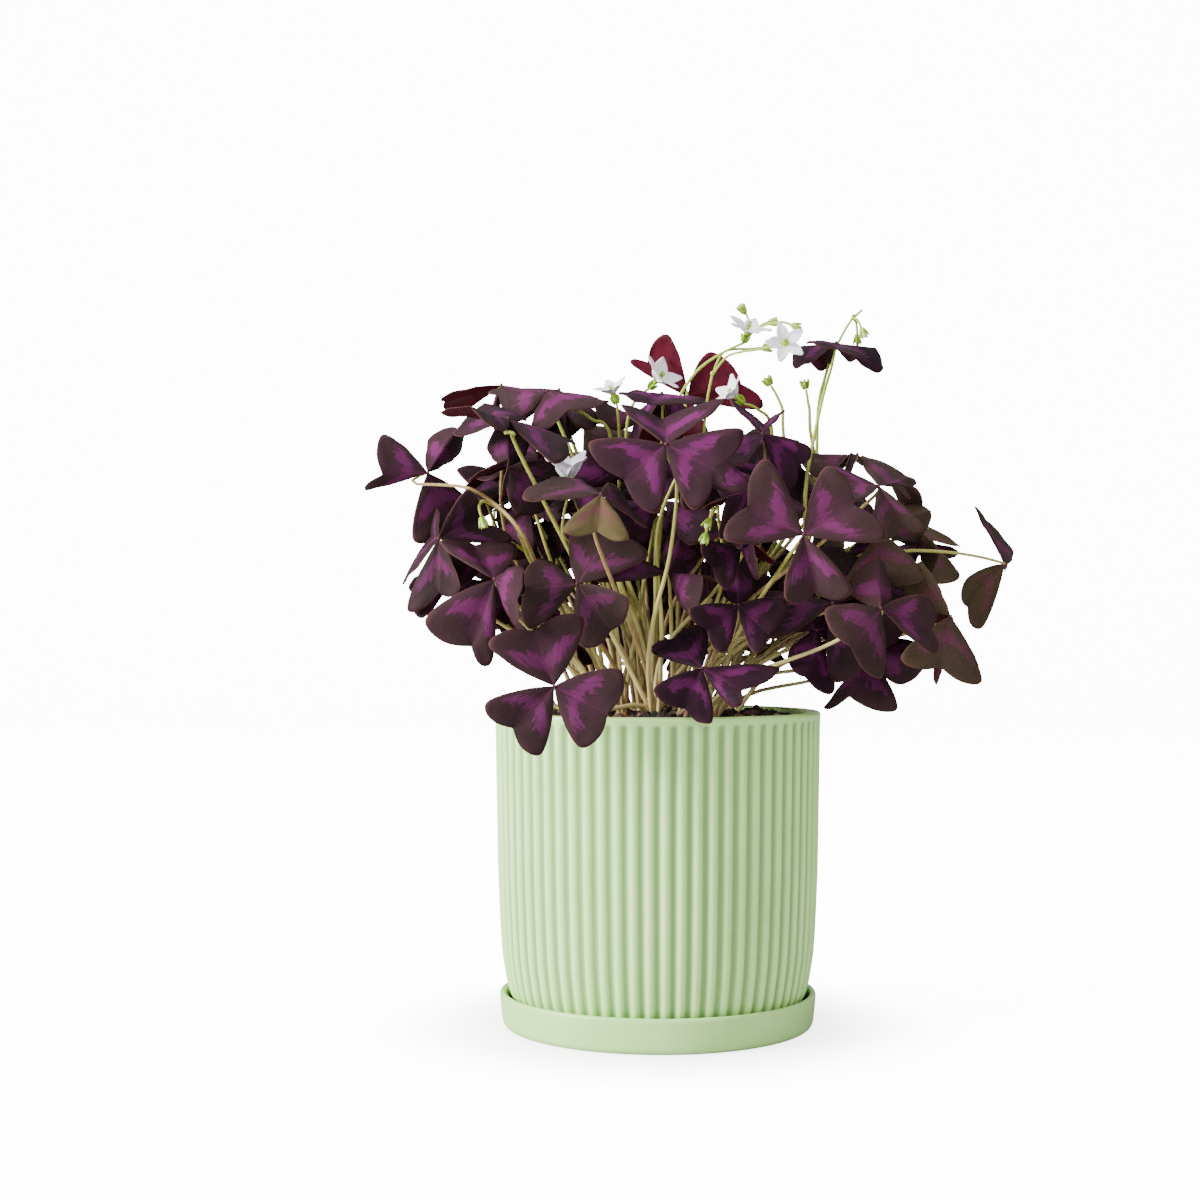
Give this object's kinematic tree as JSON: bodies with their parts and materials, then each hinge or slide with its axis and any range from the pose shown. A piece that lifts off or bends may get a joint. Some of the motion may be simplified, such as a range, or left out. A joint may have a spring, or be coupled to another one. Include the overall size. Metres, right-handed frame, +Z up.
{
  "type": "potted shamrock plant",
  "caption": "House plant with three-part purple leaves, thin stalks and small white flowers, in a fluted ceramic pot on a round saucer.",
  "frame": {"origin": "centre of the saucer's flat underside", "axes": "+Z up; the front, which the picture shows, looks along -Y; +X to the viewer's right"},
  "size_m": [0.3041, 0.2319, 0.3325],
  "materials": {
    "pot_glaze": "satin mint-green glaze over upright flutes",
    "saucer_glaze": "satin mint-green glaze, smooth",
    "potting_soil": "dark crumbly potting soil",
    "stalk_green": "pale yellow-green plant stalks and scaly bulbs",
    "petal_white": "white petals with a lilac tint",
    "leaf_purple": "matt dark purple leaf with a brighter blotch on each leaflet and a crimson underside"
  },
  "bodies": {
    "root": {"bloom_1": "petal_white", "bloom_2": "petal_white", "bloom_3": "petal_white", "bloom_4": "petal_white", "bloom_5": "petal_white", "bloom_6": "petal_white", "leaf_01": "leaf_purple", "leaf_02": "leaf_purple", "leaf_03": "leaf_purple", "leaf_04": "leaf_purple", "leaf_05": "leaf_purple", "leaf_06": "leaf_purple", "leaf_07": "leaf_purple", "leaf_08": "leaf_purple", "leaf_09": "leaf_purple", "leaf_10": "leaf_purple", "leaf_11": "leaf_purple", "leaf_12": "leaf_purple", "leaf_13": "leaf_purple", "leaf_14": "leaf_purple", "leaf_15": "leaf_purple", "leaf_16": "leaf_purple", "leaf_17": "leaf_purple", "leaf_18": "leaf_purple", "leaf_19": "leaf_purple", "leaf_20": "leaf_purple", "leaf_21": "leaf_purple", "leaf_22": "leaf_purple", "leaf_23": "leaf_purple", "leaf_24": "leaf_purple", "leaf_25": "leaf_purple", "leaf_26": "leaf_purple", "leaf_27": "leaf_purple", "leaf_28": "leaf_purple", "leaf_29": "leaf_purple", "leaf_30": "leaf_purple", "leaf_31": "leaf_purple", "leaf_32": "leaf_purple", "leaf_33": "leaf_purple", "leaf_34": "leaf_purple", "leaf_35": "leaf_purple", "leaf_36": "leaf_purple", "leaf_37": "leaf_purple", "leaf_38": "leaf_purple", "leaf_39": "leaf_purple", "leaf_40": "leaf_purple", "leaf_41": "leaf_purple", "leaf_42": "leaf_purple", "leaf_43": "leaf_purple", "pot": "pot_glaze", "saucer": "saucer_glaze", "soil": "potting_soil", "spray_1": "leaf_purple", "spray_2": "leaf_purple", "spray_3": "leaf_purple", "spray_4": "leaf_purple", "spray_5": "leaf_purple", "spray_6": "leaf_purple", "spray_7": "leaf_purple", "stalks": "stalk_green"}
  },
  "joints": []
}
